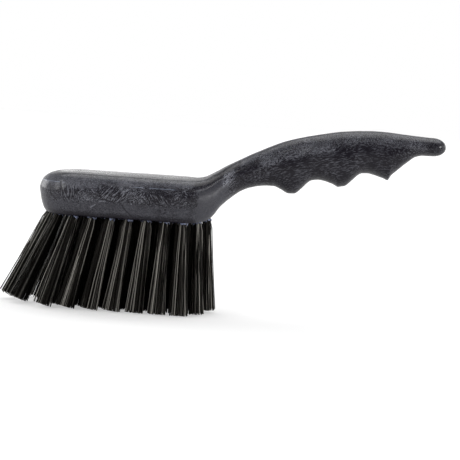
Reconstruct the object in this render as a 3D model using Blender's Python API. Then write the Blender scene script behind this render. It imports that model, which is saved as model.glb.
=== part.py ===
# Hand scrub brush: a moulded block whose handle is one piece with it, drilled with a
# fan of blind holes, and a tuft of folded filaments stapled into each hole.
# X runs from the nose of the block to the butt of the handle, Y across it and Z up.
# The brush stands on the tips of its bristles, and all lengths are in metres.

import math

import bmesh
import bpy
import numpy as np
from mathutils import Euler, Matrix, Vector

# Sizes of the block
BLOCK_LENGTH = 0.0922
BLOCK_WIDTH = 0.054
BLOCK_THICKNESS = 0.0224
NOSE_ROUNDING = 0.022
NOSE_POWER = 2.6
HEEL_LENGTH = 0.0185
# Rim of the block: how far its underside and its top are drawn in from the widest
# outline at the nose, and the levels between as (share of that inset, share of the
# thickness). The sides are drawn in less.
UNDER_INSET = 0.0046
TOP_INSET = 0.0135
LOWER_RIM_SHARES = ((1.0, 0.0), (0.85, 0.03), (0.565, 0.11), (0.28, 0.27), (0.11, 0.43), (0.0, 0.58))
UPPER_RIM_SHARES = ((0.045, 0.72), (0.14, 0.82), (0.34, 0.93), (0.63, 0.98), (1.0, 1.0))
SIDE_INSET_SHARE = 0.55

# Sizes of the handle: its widths, and its depths under the back
HANDLE_LENGTH = 0.1227
HANDLE_RISE = 0.032
NECK_WIDTH = 0.022
NECK_REACH = 0.020
NECK_DEPTH = 0.021
GRIP_WIDTH = 0.026
GRIP_REACH = 0.072
GRIP_DEPTH = 0.0295
BUTT_WIDTH = 0.018
BUTT_REACH = 0.115
BUTT_DEPTH = 0.0097
BUTT_ROUNDING = 0.0068
HANDLE_SECTION_POWER = 2.4
# The handle's back, from the heel: share of its length, share of its rise
BACK_SHARES = (
    (-0.08, 0.0), (-0.042, 0.028), (0.008, 0.134), (0.057, 0.254), (0.1075, 0.36), (0.183, 0.518),
    (0.309, 0.736), (0.462, 0.89), (0.616, 0.984), (0.70, 1.0), (0.825, 0.972), (0.93, 0.952),
)
# The sweep under the heel, from the block's flat up to the neck: share of its length,
# share of its climb
SWEEP_SETBACK = 0.0087
SWEEP_LENGTH = 0.038
SWEEP_SHARES = (
    (0.0, 0.0), (0.13, 0.03), (0.222, 0.112), (0.357, 0.42), (0.493, 0.643), (0.628, 0.824),
    (0.74, 0.915), (0.94, 0.993), (1.0, 1.0),
)

# Finger grips: crests under the handle with a scallop raised between each two of them,
# steep towards the block. The shares are of the pitch and of the scallop's depth.
FINGER_PITCH = 0.0263
FIRST_CREST_REACH = 0.0112
CREST_DEPTH_SHARES = (0.98, 1.0, 0.86)
SCALLOP_DEPTH = 0.0066
SCALLOP_SHARES = (
    (0.0, 0.0), (0.12, 0.005), (0.18, 0.13), (0.24, 0.33), (0.3, 0.54), (0.37, 0.79), (0.45, 0.93),
    (0.56, 0.9), (0.69, 0.72), (0.82, 0.45), (0.9, 0.26), (0.955, 0.09), (0.985, 0.01), (1.0, 0.0),
)
# From the neck down to the first crest: share of the way and of the drop
APPROACH_SHARES = ((0.25, 0.0), (0.6, 0.4), (0.88, 0.89))
# The last scallop, from the last crest to the butt: share of its length and climb
LAST_SCALLOP_LENGTH = 0.022
LAST_SCALLOP_SHARES = ((0.03, 0.12), (0.175, 0.35), (0.43, 0.71), (0.62, 0.935), (0.8, 1.0), (1.0, 1.0))

# Tuft holes: five rows along the block. For the middle row, its two neighbours and the
# two outer ones, the number of tufts and how far the row is set back at either end.
HOLE_DIAMETER = 0.0048
TOP_WALL = 0.0104
ROW_TUFTS = (9, 8, 7)
NOSE_SETBACKS = (0.0, 0.0052, 0.0134)
HEEL_SETBACKS = (0.0, 0.005, 0.012)
SIDE_MARGIN = 0.0078
NOSE_MARGIN = 0.0066
HEEL_MARGIN = 0.0024
# The holes fan out towards the nose and to both sides. The first hole of each row but
# the outer two leans further out, round the end of the nose.
NOSE_LEAN = math.radians(22.0)
HEEL_LEAN = math.radians(-4.0)
FAN_POWER = 1.2
FIRST_TUFT_LEAN = math.radians(4.8)
SIDE_FLARE = math.radians(8.0)

# Tufts: a bundle folded over a staple at the bottom of its hole, and its free strands
TRIM_LENGTH = 0.0495
ROOT_CLEARANCE = 0.0003
FOLD_NARROWING = 0.0005
STAPLE_HEIGHT = 0.0012
STRANDS_ACROSS = 3
STRAND_THICKNESS = 0.00065
TIP_SPREAD = 0.0054
TRIM_TOLERANCE = 0.0005
FLAT_CUT = 0.0005
TRIM_SEED = 7

# Finishes: colour and roughness
PLASTIC_COLOUR = (0.035, 0.036, 0.042)
PLASTIC_ROUGHNESS = 0.5
FILAMENT_COLOUR = (0.012, 0.0115, 0.011)
FILAMENT_ROUGHNESS = 0.38

# Fineness of the surfaces
FLAT_SPLIT_SHARE = 0.6
NOSE_STEPS = 9
BLOCK_STEPS = 4
NECK_STEPS = 10
GRIP_STEPS = 26
BUTT_STEPS = 6
HOLE_SIDES = 10
CUT_OVERRUN = 0.006
STATION_GAP = 0.0002
WELD_DISTANCE = 0.000001
CREASE_ANGLE = math.radians(35.0)

NOSE_X = -BLOCK_LENGTH / 2
HEEL_X = BLOCK_LENGTH / 2
BUTT_X = HEEL_X + HANDLE_LENGTH
HEEL_START_X = HEEL_X - HEEL_LENGTH
SWEEP_X = HEEL_X - SWEEP_SETBACK
HOLE_DEPTH = BLOCK_THICKNESS - TOP_WALL
ROOT_RADIUS = HOLE_DIAMETER / 2 - ROOT_CLEARANCE
RIM_INSETS = np.array([UNDER_INSET * share for share, _ in LOWER_RIM_SHARES]
                      + [TOP_INSET * share for share, _ in UPPER_RIM_SHARES])
RIM_HEIGHT_SHARES = np.array([height for _, height in LOWER_RIM_SHARES + UPPER_RIM_SHARES])
SECTION_POINTS = len(RIM_INSETS) + 4


def clear_scene():
    for old in list(bpy.data.objects):
        bpy.data.objects.remove(old, do_unlink=True)


def make_material(name, colour, roughness):
    material = bpy.data.materials.new(name)
    material.use_nodes = True
    shader = material.node_tree.nodes["Principled BSDF"]
    shader.inputs["Base Color"].default_value = (*colour, 1.0)
    shader.inputs["Roughness"].default_value = roughness
    shader.inputs["Metallic"].default_value = 0.0
    return material


def smooth_curve(points, x):
    # A curve through all the points that never overshoots them: cubic pieces whose
    # slope is flat at the first point and at each high or low one
    px = np.array([p[0] for p in points])
    py = np.array([p[1] for p in points])
    step = np.diff(px)
    rise = np.diff(py) / step
    slope = np.zeros(len(px))
    slope[-1] = rise[-1]
    same_way = rise[:-1] * rise[1:] > 0.0
    mean = np.zeros(len(rise) - 1)
    mean[same_way] = 2 * rise[:-1][same_way] * rise[1:][same_way] / (rise[:-1] + rise[1:])[same_way]
    slope[1:-1] = mean
    x = np.clip(x, px[0], px[-1])
    i = np.clip(np.searchsorted(px, x, side="right") - 1, 0, len(step) - 1)
    t = (x - px[i]) / step[i]
    start = (1 + 2 * t) * (1 - t) ** 2 * py[i] + t * (1 - t) ** 2 * step[i] * slope[i]
    end = t * t * (3 - 2 * t) * py[i + 1] + t * t * (t - 1) * step[i] * slope[i + 1]
    return start + end


def rounding(share, power):
    # A quarter of a superellipse: 0 at its tip, 1 where it runs out into the straight
    share = np.clip(share, 0.0, 1.0)
    return (1 - (1 - share) ** power) ** (1 / power)


def outline_half_width(x):
    # Half the width at the widest line, away from the nose and the butt
    return smooth_curve((
        (HEEL_START_X, BLOCK_WIDTH / 2),
        (HEEL_X + NECK_REACH, NECK_WIDTH / 2),
        (HEEL_X + GRIP_REACH, GRIP_WIDTH / 2),
        (HEEL_X + BUTT_REACH, BUTT_WIDTH / 2),
    ), x)


def back_height(x):
    # The top of the block and the back of the handle on the centre plane
    return smooth_curve([
        (HEEL_X + along * HANDLE_LENGTH, BLOCK_THICKNESS + rise * HANDLE_RISE)
        for along, rise in BACK_SHARES
    ], x)


def crest_x(finger):
    return SWEEP_X + SWEEP_LENGTH + FIRST_CREST_REACH + finger * FINGER_PITCH


def crest_height(finger):
    return float(back_height(crest_x(finger))) - GRIP_DEPTH * CREST_DEPTH_SHARES[finger]


def underside_points():
    # The flat of the block, the sweep up to the neck, the way down to the first crest,
    # the crests of the finger grips and the last scallop's rise to the butt
    neck_end_x = SWEEP_X + SWEEP_LENGTH
    neck = float(back_height(neck_end_x)) - NECK_DEPTH
    points = [(SWEEP_X + along * SWEEP_LENGTH, climb * neck) for along, climb in SWEEP_SHARES]
    points += [(neck_end_x + along * FIRST_CREST_REACH, neck + drop * (crest_height(0) - neck))
               for along, drop in APPROACH_SHARES]
    points += [(crest_x(finger), crest_height(finger)) for finger in range(len(CREST_DEPTH_SHARES))]
    start_x, start_z = points[-1]
    climb = float(back_height(start_x + LAST_SCALLOP_LENGTH)) - BUTT_DEPTH - start_z
    points += [(start_x + along * LAST_SCALLOP_LENGTH, start_z + share * climb)
               for along, share in LAST_SCALLOP_SHARES]
    return points


def underside_height(x):
    line = smooth_curve(underside_points(), x)
    phase = (x - crest_x(0)) / FINGER_PITCH
    between = (phase > 0.0) & (phase < len(CREST_DEPTH_SHARES) - 1)
    return line + np.where(between, SCALLOP_DEPTH * smooth_curve(SCALLOP_SHARES, phase % 1.0), 0.0)


def block_levels(low, high, half_width):
    # Half-widths and heights of the rim's levels
    return half_width - SIDE_INSET_SHARE * RIM_INSETS, low + RIM_HEIGHT_SHARES * (high - low)


def close_middle(across, up):
    # The rim's levels, with the flat underside before them and the flat top after them
    split = FLAT_SPLIT_SHARE
    across = np.concatenate(((0.0, split * across[0]), across, (split * across[-1], 0.0)))
    up = np.concatenate(((up[0], up[0]), up, (up[-1], up[-1])))
    return across, up


def block_section(x):
    # Half a cross-section of the block, from the middle of its underside to the middle
    # of its top
    low = float(underside_height(x))
    high = float(back_height(x))
    across, up = block_levels(low, high, float(outline_half_width(x)))
    return np.column_stack(close_middle(across, up))


def nose_fan(turn):
    # A cut from the middle of the nose's rounding out to its rim, at a turn from the
    # brush's axis. Each level of the rim is a quarter of a superellipse of its own.
    across, up = block_levels(0.0, BLOCK_THICKNESS, BLOCK_WIDTH / 2)
    across, up = close_middle(across * math.sin(turn) ** (2 / NOSE_POWER), up)
    ahead, _ = close_middle(NOSE_ROUNDING - RIM_INSETS, up[2:-2])
    ahead = ahead * max(math.cos(turn), 0.0) ** (2 / NOSE_POWER)
    return np.column_stack((NOSE_X + NOSE_ROUNDING - ahead, across, up))


def handle_section(x):
    # Half a cross-section of the handle, a rounded oval that shrinks to the butt's tip
    to_tip = (BUTT_X - x) / BUTT_ROUNDING
    closing = float(rounding(to_tip, 2))
    low = float(underside_height(min(x, BUTT_X - BUTT_ROUNDING)))
    high = float(back_height(min(x, BUTT_X - BUTT_ROUNDING)))
    middle = (low + high) / 2
    half_depth = closing * (high - low) / 2
    half_width = closing * float(outline_half_width(x))
    turn = np.linspace(-math.pi / 2, math.pi / 2, SECTION_POINTS)
    across = np.abs(np.cos(turn)) ** (2 / HANDLE_SECTION_POWER)
    up = np.sign(np.sin(turn)) * np.abs(np.sin(turn)) ** (2 / HANDLE_SECTION_POWER)
    across[0] = across[-1] = 0.0
    return np.column_stack((half_width * across, middle + half_depth * up))


def moulding_section(x):
    # The block's section turns smoothly into the handle's between the heel and the neck
    share = np.clip((x - HEEL_START_X) / (HEEL_X + NECK_REACH - HEEL_START_X), 0.0, 1.0)
    share = share * share * (3 - 2 * share)
    if share == 0.0:
        return block_section(x)
    if share == 1.0:
        return handle_section(x)
    return (1 - share) * block_section(x) + share * handle_section(x)


def moulding_stations():
    # Places behind the nose where a cross-section is taken, close together where the
    # outline turns fast
    runs = [
        np.linspace(NOSE_X + NOSE_ROUNDING, HEEL_START_X, BLOCK_STEPS),
        np.linspace(HEEL_START_X, HEEL_X + NECK_REACH, NECK_STEPS),
        np.linspace(HEEL_X + NECK_REACH, BUTT_X - BUTT_ROUNDING, GRIP_STEPS),
        crest_x(0) + FIRST_CREST_REACH * (np.array([along for along, _ in APPROACH_SHARES]) - 1),
        np.array([crest_x(finger + along) for finger in range(len(CREST_DEPTH_SHARES) - 1)
                  for along, _ in SCALLOP_SHARES]),
        np.array([crest_x(len(CREST_DEPTH_SHARES) - 1) + along * LAST_SCALLOP_LENGTH
                  for along, _ in LAST_SCALLOP_SHARES]),
        BUTT_X - BUTT_ROUNDING * (1 - np.sin(np.linspace(0.0, math.pi / 2, BUTT_STEPS))),
    ]
    stations = np.sort(np.concatenate(runs))
    apart = np.concatenate(([True], np.diff(stations) > STATION_GAP))
    return stations[apart]


def half_rings():
    # Half of every ring of points from the nose's tip to the butt's
    turns = np.linspace(0.0, math.pi / 2, NOSE_STEPS)[:-1]
    rings = [nose_fan(turn) for turn in turns]
    for x in moulding_stations():
        section = moulding_section(x)
        rings.append(np.column_stack((np.full(len(section), x), section)))
    return rings


def make_moulding(parent, material):
    mesh = bmesh.new()
    rings = []
    for half in half_rings():
        right = [mesh.verts.new(point) for point in half]
        left = [mesh.verts.new((x, -y, z)) for x, y, z in half[-2:0:-1]]
        rings.append(right + left)
    for here, there in zip(rings, rings[1:]):
        for i in range(len(here)):
            j = (i + 1) % len(here)
            mesh.faces.new((here[i], here[j], there[j], there[i]))
    bmesh.ops.remove_doubles(mesh, verts=mesh.verts, dist=WELD_DISTANCE)
    bmesh.ops.recalc_face_normals(mesh, faces=mesh.faces)
    return add_object("block_and_handle", mesh, parent, material)


def add_object(name, mesh, parent, material):
    data = bpy.data.meshes.new(name)
    mesh.to_mesh(data)
    mesh.free()
    data.materials.append(material)
    data.shade_smooth()
    data.set_sharp_from_angle(angle=CREASE_ANGLE)
    made = bpy.data.objects.new(name, data)
    bpy.context.collection.objects.link(made)
    made.parent = parent
    return made


def tuft_places():
    # Name, mouth of the hole and its turn about X and Y for each tuft
    places = []
    outer = len(ROW_TUFTS) - 1
    row_spacing = (BLOCK_WIDTH / 2 - SIDE_MARGIN) / outer
    for row, aside in enumerate(range(-outer, outer + 1)):
        off = abs(aside)
        first_x = NOSE_X + NOSE_MARGIN + NOSE_SETBACKS[off]
        last_x = HEEL_X - HEEL_MARGIN - HEEL_SETBACKS[off]
        for tuft, x in enumerate(np.linspace(first_x, last_x, ROW_TUFTS[off])):
            to_heel = (HEEL_X - x) / BLOCK_LENGTH
            lean = HEEL_LEAN + (NOSE_LEAN - HEEL_LEAN) * to_heel ** FAN_POWER
            if tuft == 0 and off < outer:
                lean += FIRST_TUFT_LEAN
            mouth = Vector((x, aside * row_spacing, float(underside_height(x))))
            turn = Euler((SIDE_FLARE * aside / outer, lean, 0.0))
            places.append((f"tuft_row{row + 1}_{tuft + 1}", mouth, turn))
    return places


def drill_holes(moulding, places):
    cutter = bmesh.new()
    length = HOLE_DEPTH + CUT_OVERRUN
    for _, mouth, turn in places:
        middle = Matrix.Translation((0.0, 0.0, (HOLE_DEPTH - CUT_OVERRUN) / 2))
        bmesh.ops.create_cone(
            cutter, cap_ends=True, segments=HOLE_SIDES,
            radius1=HOLE_DIAMETER / 2, radius2=HOLE_DIAMETER / 2, depth=length,
            matrix=Matrix.LocRotScale(mouth, turn, None) @ middle)
    data = bpy.data.meshes.new("hole_cutter")
    cutter.to_mesh(data)
    cutter.free()
    guide = bpy.data.objects.new("hole_cutter", data)
    bpy.context.collection.objects.link(guide)
    guide.parent = moulding.parent
    guide.hide_render = True
    guide.display_type = "WIRE"
    cut = moulding.modifiers.new("Tuft holes", "BOOLEAN")
    cut.operation = "DIFFERENCE"
    cut.solver = "EXACT"
    cut.object = guide


def root_grid():
    # A square grid of points pulled out into a disc, row by row
    line = np.linspace(-1, 1, STRANDS_ACROSS + 1)
    u, v = np.meshgrid(line, line)
    return ROOT_RADIUS * np.stack((u * np.sqrt(1 - v * v / 2), v * np.sqrt(1 - u * u / 2)), axis=-1)


def grid_border():
    # The grid's outer points in order round its edge
    n = STRANDS_ACROSS
    border = [(0, i) for i in range(n)] + [(i, n) for i in range(n)]
    return border + [(n, n - i) for i in range(n)] + [(n - i, 0) for i in range(n)]


def strand_corners(centre, height):
    half = STRAND_THICKNESS / 2
    return [Vector((centre[0] + i * half, centre[1] + j * half, height))
            for i, j in ((-1, -1), (1, -1), (1, 1), (-1, 1))]


def strand_shapes(random):
    # Root and tip corners of each strand in the tuft's own frame. All strands are
    # trimmed to one length, give or take the tolerance, and fan out from the root.
    grid = root_grid()
    shapes = []
    for row in range(STRANDS_ACROSS):
        for column in range(STRANDS_ACROSS):
            centre = grid[row:row + 2, column:column + 2].mean(axis=(0, 1))
            tip = centre * (TIP_SPREAD - STRAND_THICKNESS) / ROOT_RADIUS
            length = TRIM_LENGTH - TRIM_TOLERANCE * random.random()
            drop = math.sqrt(length ** 2 - float((tip - centre) @ (tip - centre)))
            shapes.append((row, column, strand_corners(centre, 0.0), strand_corners(tip, -drop)))
    return shapes


def trim_to_floor(root, tip, to_world, floor):
    # A corner that would reach below the floor stops on it
    high = (to_world @ root).z
    low = (to_world @ tip).z
    if low >= floor:
        return tip
    return root + (tip - root) * ((high - floor) / (high - low))


def make_tuft(name, mouth, turn, shapes, floor, parent, material):
    to_world = Matrix.LocRotScale(mouth, turn, None)
    mesh = bmesh.new()
    grid = root_grid()
    face_points = [[mesh.verts.new((*grid[row, column], 0.0)) for column in range(STRANDS_ACROSS + 1)]
                   for row in range(STRANDS_ACROSS + 1)]
    for row, column, root, tip in shapes:
        cell = (face_points[row][column], face_points[row][column + 1],
                face_points[row + 1][column + 1], face_points[row + 1][column])
        low = [mesh.verts.new(corner) for corner in root]
        ends = [mesh.verts.new(trim_to_floor(r, t, to_world, floor)) for r, t in zip(root, tip)]
        for i in range(4):
            j = (i + 1) % 4
            mesh.faces.new((cell[i], cell[j], low[j], low[i]))
            mesh.faces.new((low[i], low[j], ends[j], ends[i]))
        mesh.faces.new(ends)

    # The bundle narrows to its fold, where the staple's two ends stand out
    top = HOLE_DEPTH - ROOT_CLEARANCE
    narrow = (ROOT_RADIUS - FOLD_NARROWING) / ROOT_RADIUS
    border = grid_border()
    rings = [[face_points[row][column] for row, column in border]]
    for height in (top - STAPLE_HEIGHT, top):
        rings.append([mesh.verts.new((*(grid[row, column] * narrow), height)) for row, column in border])
    staple_sides = (STRANDS_ACROSS // 2, 2 * STRANDS_ACROSS + STRANDS_ACROSS // 2)
    ends_of_staple = []
    for here, there in zip(rings, rings[1:]):
        for i in range(len(border)):
            j = (i + 1) % len(border)
            face = mesh.faces.new((here[j], here[i], there[i], there[j]))
            if there is rings[-1] and i in staple_sides:
                ends_of_staple.append(face)
    mesh.faces.new(list(reversed(rings[-1])))
    bmesh.ops.recalc_face_normals(mesh, faces=mesh.faces)
    stand_out = bmesh.ops.extrude_discrete_faces(mesh, faces=ends_of_staple)
    for face in stand_out["faces"]:
        for corner in face.verts:
            corner.co.y += math.copysign(FOLD_NARROWING, corner.co.y)
    tuft = add_object(name, mesh, parent, material)
    tuft.location = mouth
    tuft.rotation_euler = turn
    return tuft


def floor_height(places, shapes):
    # The plane that cuts the longest strands flat
    tips = [Matrix.LocRotScale(mouth, turn, None) @ corner
            for (_, mouth, turn), tuft in zip(places, shapes) for strand in tuft for corner in strand[3]]
    return min(tip.z for tip in tips) + FLAT_CUT


def centre_over_footprint(frame, pieces, floor):
    # The origin lies on the floor, under the middle of the brush seen from above
    bpy.context.view_layer.update()
    corners = [piece.matrix_world @ vertex.co for piece in pieces for vertex in piece.data.vertices]
    xs = [corner.x for corner in corners]
    ys = [corner.y for corner in corners]
    frame.location = (-(min(xs) + max(xs)) / 2, -(min(ys) + max(ys)) / 2, -floor)


def build():
    clear_scene()
    frame = bpy.data.objects.new("scrub_brush", None)
    bpy.context.collection.objects.link(frame)
    polypropylene = make_material("Black foamed polypropylene", PLASTIC_COLOUR, PLASTIC_ROUGHNESS)
    filament = make_material("Black polypropylene filament", FILAMENT_COLOUR, FILAMENT_ROUGHNESS)
    moulding = make_moulding(frame, polypropylene)
    places = tuft_places()
    drill_holes(moulding, places)
    random = np.random.default_rng(TRIM_SEED)
    shapes = [strand_shapes(random) for _ in places]
    floor = floor_height(places, shapes)
    tufts = [make_tuft(name, mouth, turn, strands, floor, frame, filament)
             for (name, mouth, turn), strands in zip(places, shapes)]
    centre_over_footprint(frame, [moulding] + tufts, floor)


build()
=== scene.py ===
# Looks of a black hand scrub brush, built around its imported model: a foamed plastic
# block and handle in one moulding, and tufts of stiff black filaments.
# Lengths are in metres. +X runs to the handle, +Z up, and the brush stands on its tips.

import math

import bmesh
import bpy
import numpy as np
from mathutils import Matrix, Vector


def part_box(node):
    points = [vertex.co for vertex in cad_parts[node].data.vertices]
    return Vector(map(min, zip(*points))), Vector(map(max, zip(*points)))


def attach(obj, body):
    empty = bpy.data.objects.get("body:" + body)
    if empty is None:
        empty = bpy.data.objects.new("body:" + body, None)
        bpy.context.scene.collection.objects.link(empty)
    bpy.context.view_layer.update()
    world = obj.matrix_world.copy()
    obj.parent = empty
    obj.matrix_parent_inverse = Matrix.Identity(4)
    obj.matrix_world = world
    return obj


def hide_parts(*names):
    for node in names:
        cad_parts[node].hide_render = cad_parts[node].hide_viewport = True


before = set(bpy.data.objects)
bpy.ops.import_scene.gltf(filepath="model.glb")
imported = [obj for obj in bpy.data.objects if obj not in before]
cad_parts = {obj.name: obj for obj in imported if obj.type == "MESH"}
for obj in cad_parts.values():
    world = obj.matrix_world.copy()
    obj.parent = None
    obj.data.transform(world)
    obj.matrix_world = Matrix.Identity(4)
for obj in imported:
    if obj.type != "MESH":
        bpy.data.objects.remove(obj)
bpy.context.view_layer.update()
print("frame loaded,", len(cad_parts), "nodes")

mm = 0.001


# Camera: the photograph's, found from the block's outline

camera = dict(
    targetFromNose=(102.82 * mm, 0.0, 45.1 * mm),
    distance=1.0,
    elevation=math.radians(5.1),
    roll=math.radians(4.0),        # the whole brush leans clockwise in the picture
    lens=145.6,
    sensor=36.0,
)


blockLow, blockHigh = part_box("block_and_handle")
target = Vector((blockLow.x, 0.0, 0.0)) + Vector(camera["targetFromNose"])


def addCamera():
    # The view's right and up vectors, turned about the line of sight by the roll
    tilt = camera["elevation"]
    right = Vector((1.0, 0.0, 0.0))
    up = Vector((0.0, math.sin(tilt), math.cos(tilt)))
    back = Vector((0.0, -math.cos(tilt), math.sin(tilt)))
    turn = camera["roll"]
    rolledRight = math.cos(turn) * right + math.sin(turn) * up
    rolledUp = math.cos(turn) * up - math.sin(turn) * right
    basis = Matrix((rolledRight, rolledUp, back)).transposed().to_4x4()
    data = bpy.data.cameras.new("photoCamera")
    data.lens = camera["lens"]
    data.sensor_width = camera["sensor"]
    data.clip_start = 10 * mm
    data.clip_end = 20.0
    made = bpy.data.objects.new("photoCamera", data)
    bpy.context.scene.collection.objects.link(made)
    made.matrix_world = Matrix.Translation(target + camera["distance"] * back) @ basis
    bpy.context.scene.camera = made


addCamera()


# Small tools for shapes and materials

def smoothStep(share):
    share = np.clip(share, 0.0, 1.0)
    return share * share * (3 - 2 * share)


def smoothCurve(points, x):
    # A curve through all the points that never overshoots them: cubic pieces whose
    # slope is flat at the first point and at each high or low one
    px, py = np.array(points, float).T
    step = np.diff(px)
    rise = np.diff(py) / step
    sameWay = rise[:-1] * rise[1:] > 0.0
    total = np.where(sameWay, rise[:-1] + rise[1:], 1.0)
    slope = np.concatenate(([0.0], np.where(sameWay, 2 * rise[:-1] * rise[1:] / total, 0.0), [rise[-1]]))
    x = np.clip(x, px[0], px[-1])
    i = np.clip(np.searchsorted(px, x, side="right") - 1, 0, len(step) - 1)
    t = (x - px[i]) / step[i]
    start = (1 + 2 * t) * (1 - t) ** 2 * py[i] + t * (1 - t) ** 2 * step[i] * slope[i]
    end = t * t * (3 - 2 * t) * py[i + 1] + t * t * (t - 1) * step[i] * slope[i + 1]
    return start + end


def throughPoints(values, index, levelEnd=False):
    # A smooth curve through evenly numbered values, read at fractional numbers: each
    # piece is the cubic of its four nearest values. A level end runs out flat.
    values = np.asarray(values, float)
    i = np.clip(np.floor(index).astype(int), 0, len(values) - 2)
    t = index - i
    a = values[np.maximum(i - 1, 0)]
    b = values[i]
    c = values[i + 1]
    beyond = values[-2] if levelEnd else values[-1]
    d = np.append(values, beyond)[i + 2]
    return b + t * (c - a + t * (2 * a - 5 * b + 4 * c - d + t * (3 * (b - c) + d - a))) / 2


def cellNoise(points, cell, seed):
    # Smooth noise from -1 to 1: random values at the corners of cubes of the cell's
    # size, blended between the eight corners round each point
    size = 32
    corners = np.random.default_rng(seed).uniform(-1.0, 1.0, (size, size, size))
    scaled = np.asarray(points) / cell
    low = np.floor(scaled).astype(int)
    fx, fy, fz = smoothStep(scaled - low).T
    x, y, z = (low % size).T
    u, v, w = ((low + 1) % size).T
    near = (corners[x, y, z] * (1 - fx) + corners[u, y, z] * fx) * (1 - fy)
    near += (corners[x, v, z] * (1 - fx) + corners[u, v, z] * fx) * fy
    far = (corners[x, y, w] * (1 - fx) + corners[u, y, w] * fx) * (1 - fy)
    far += (corners[x, v, w] * (1 - fx) + corners[u, v, w] * fx) * fy
    return near * (1 - fz) + far * fz


def newPiece(name, points, faces, material):
    # One smooth mesh object that stands at the origin
    mesh = bpy.data.meshes.new(name)
    mesh.from_pydata(np.asarray(points).tolist(), [], faces)
    mesh.materials.append(material)
    mesh.shade_smooth()
    piece = bpy.data.objects.new(name, mesh)
    bpy.context.scene.collection.objects.link(piece)
    return piece


def weldAndTurnOut(piece):
    # Closes seams and poles, and turns every face outwards
    merged = bmesh.new()
    merged.from_mesh(piece.data)
    bmesh.ops.remove_doubles(merged, verts=merged.verts, dist=0.001 * mm)
    bmesh.ops.recalc_face_normals(merged, faces=merged.faces)
    merged.to_mesh(piece.data)
    merged.free()


def linearColour(hexColour):
    # A colour as a painter writes it, #rrggbb, in the renderer's linear light
    shares = [int(hexColour[i:i + 2], 16) / 255 for i in (1, 3, 5)]
    return [s / 12.92 if s <= 0.04045 else ((s + 0.055) / 1.055) ** 2.4 for s in shares] + [1.0]


def addNode(tree, kind, sockets=None, **settings):
    # One node with its settings. A socket is named or numbered. It takes a value, another
    # node's output, or another node for the first output that it has in use.
    node = tree.nodes.new("ShaderNode" + kind)
    for name, value in settings.items():
        setattr(node, name, value)
    for name, value in (sockets or {}).items():
        if isinstance(value, bpy.types.Node):
            value = next(output for output in value.outputs if output.enabled)
        if isinstance(value, bpy.types.NodeSocket):
            tree.links.new(value, node.inputs[name])
        else:
            node.inputs[name].default_value = value
    return node


def newMaterial(name):
    material = bpy.data.materials.new(name)
    material.use_nodes = True
    tree = material.node_tree
    return material, tree, tree.nodes["Principled BSDF"]


# The moulding: block and handle in one piece

moulding = dict(
    blockLength=92.2 * mm, blockWidth=54 * mm, blockThickness=22.4 * mm,
    noseRounding=22 * mm, nosePower=2.6, heelLength=18.5 * mm,
    underInset=4.6 * mm, topInset=13.5 * mm, sideInsetShare=0.55,
    # rim levels from the underside up: share of the inset, share of the thickness
    lowerRim=((1.0, 0.0), (0.85, 0.03), (0.565, 0.11), (0.28, 0.27), (0.11, 0.43), (0.0, 0.58)),
    upperRim=((0.045, 0.70), (0.14, 0.81), (0.34, 0.905), (0.63, 0.958), (1.0, 0.984)),
    handleLength=122.7 * mm, handleRise=32 * mm, sectionPower=2.4,
    neckWidth=22 * mm, neckReach=20 * mm, neckDepth=21 * mm,
    gripWidth=26 * mm, gripReach=72 * mm, gripDepth=29.5 * mm,
    buttWidth=18 * mm, buttReach=115 * mm, buttDepth=9.7 * mm, buttRounding=6.8 * mm,
    # the handle's back: share of its length, share of its rise
    back=((-0.08, 0.0), (-0.042, 0.028), (0.008, 0.134), (0.057, 0.254), (0.1075, 0.36), (0.183, 0.518),
          (0.309, 0.736), (0.462, 0.89), (0.616, 0.984), (0.70, 1.0), (0.825, 0.972), (0.93, 0.952)),
    # the sweep from the block's flat up to the neck
    sweepSetback=8.7 * mm, sweepLength=38 * mm,
    sweep=((0.0, 0.0), (0.13, 0.03), (0.222, 0.112), (0.357, 0.42), (0.493, 0.643), (0.628, 0.824),
           (0.74, 0.915), (0.94, 0.993), (1.0, 1.0)),
    # finger grips
    fingerPitch=26.3 * mm, firstCrestReach=11.2 * mm, crestDepths=(0.98, 1.0, 0.86),
    scallopDepth=6.6 * mm,
    scallop=((0.0, 0.0), (0.12, 0.005), (0.18, 0.13), (0.24, 0.33), (0.3, 0.54), (0.37, 0.79),
             (0.45, 0.93), (0.56, 0.9), (0.69, 0.72), (0.82, 0.45), (0.9, 0.26), (0.955, 0.09),
             (0.985, 0.01), (1.0, 0.0)),
    # from the neck down to the first crest
    approach=((0.25, 0.0), (0.6, 0.4), (0.88, 0.89)),
    lastScallopLength=22 * mm,
    lastScallop=((0.03, 0.12), (0.175, 0.35), (0.43, 0.71), (0.62, 0.935), (0.8, 1.0), (1.0, 1.0)),
    # fineness
    noseRows=64, bodyStep=0.62 * mm, buttRows=16, lowerColumns=60, upperColumns=40,
    seamGathering=1.35, sectionSamples=1500,
)
relief = dict(
    # the parting line under the top: a ridge that is worn away in patches
    seamDrop=5.1 * mm, seamHeight=0.30 * mm, seamWidth=0.30 * mm, seamAside=4 * mm,
    wearCell=14 * mm, wearMean=0.55, wearSwing=1.2, wearLeast=0.15,
    # sink marks of the foam, and finer ripples
    swell=0.10 * mm, swellCell=11 * mm, ripple=0.035 * mm, rippleCell=2.3 * mm,
    # weld lines, where flows met
    creaseDepth=0.28 * mm, creaseWidth=0.5 * mm, creaseAside=8 * mm, wobble=0.12 * mm, wobbleCell=1.5 * mm,
)

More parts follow.
